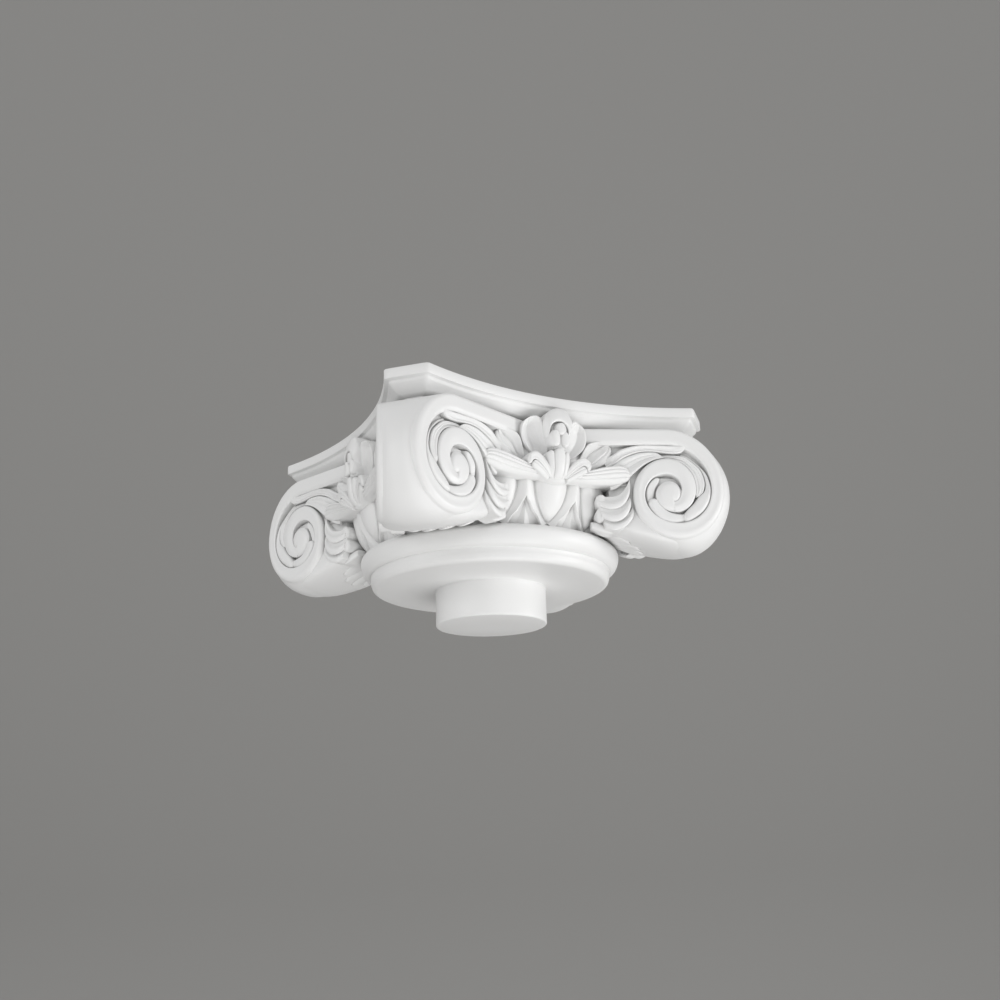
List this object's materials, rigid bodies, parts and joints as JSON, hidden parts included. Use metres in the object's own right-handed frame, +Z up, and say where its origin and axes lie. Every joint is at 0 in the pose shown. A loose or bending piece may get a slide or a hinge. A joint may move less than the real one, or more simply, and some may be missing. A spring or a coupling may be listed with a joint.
{
  "type": "ionic column capital",
  "caption": "Angular Ionic column capital with corner volutes, side flowers, an egg-and-dart ring and a centring spigot below.",
  "frame": {"origin": "centre of the spigot's flat underside, which is also the middle of the underside of the whole capital", "axes": "+Z up along the column's axis, towards the abacus; the four hollow faces look along -Y, +X, +Y and -X, and the corners point along the diagonals"},
  "size_m": [0.3702, 0.3702, 0.1924],
  "materials": {
    "white_polyurethane": "white factory primer with a soft satin sheen on moulded rigid polyurethane"
  },
  "bodies": {
    "root": {"capital": "white_polyurethane"}
  },
  "joints": []
}
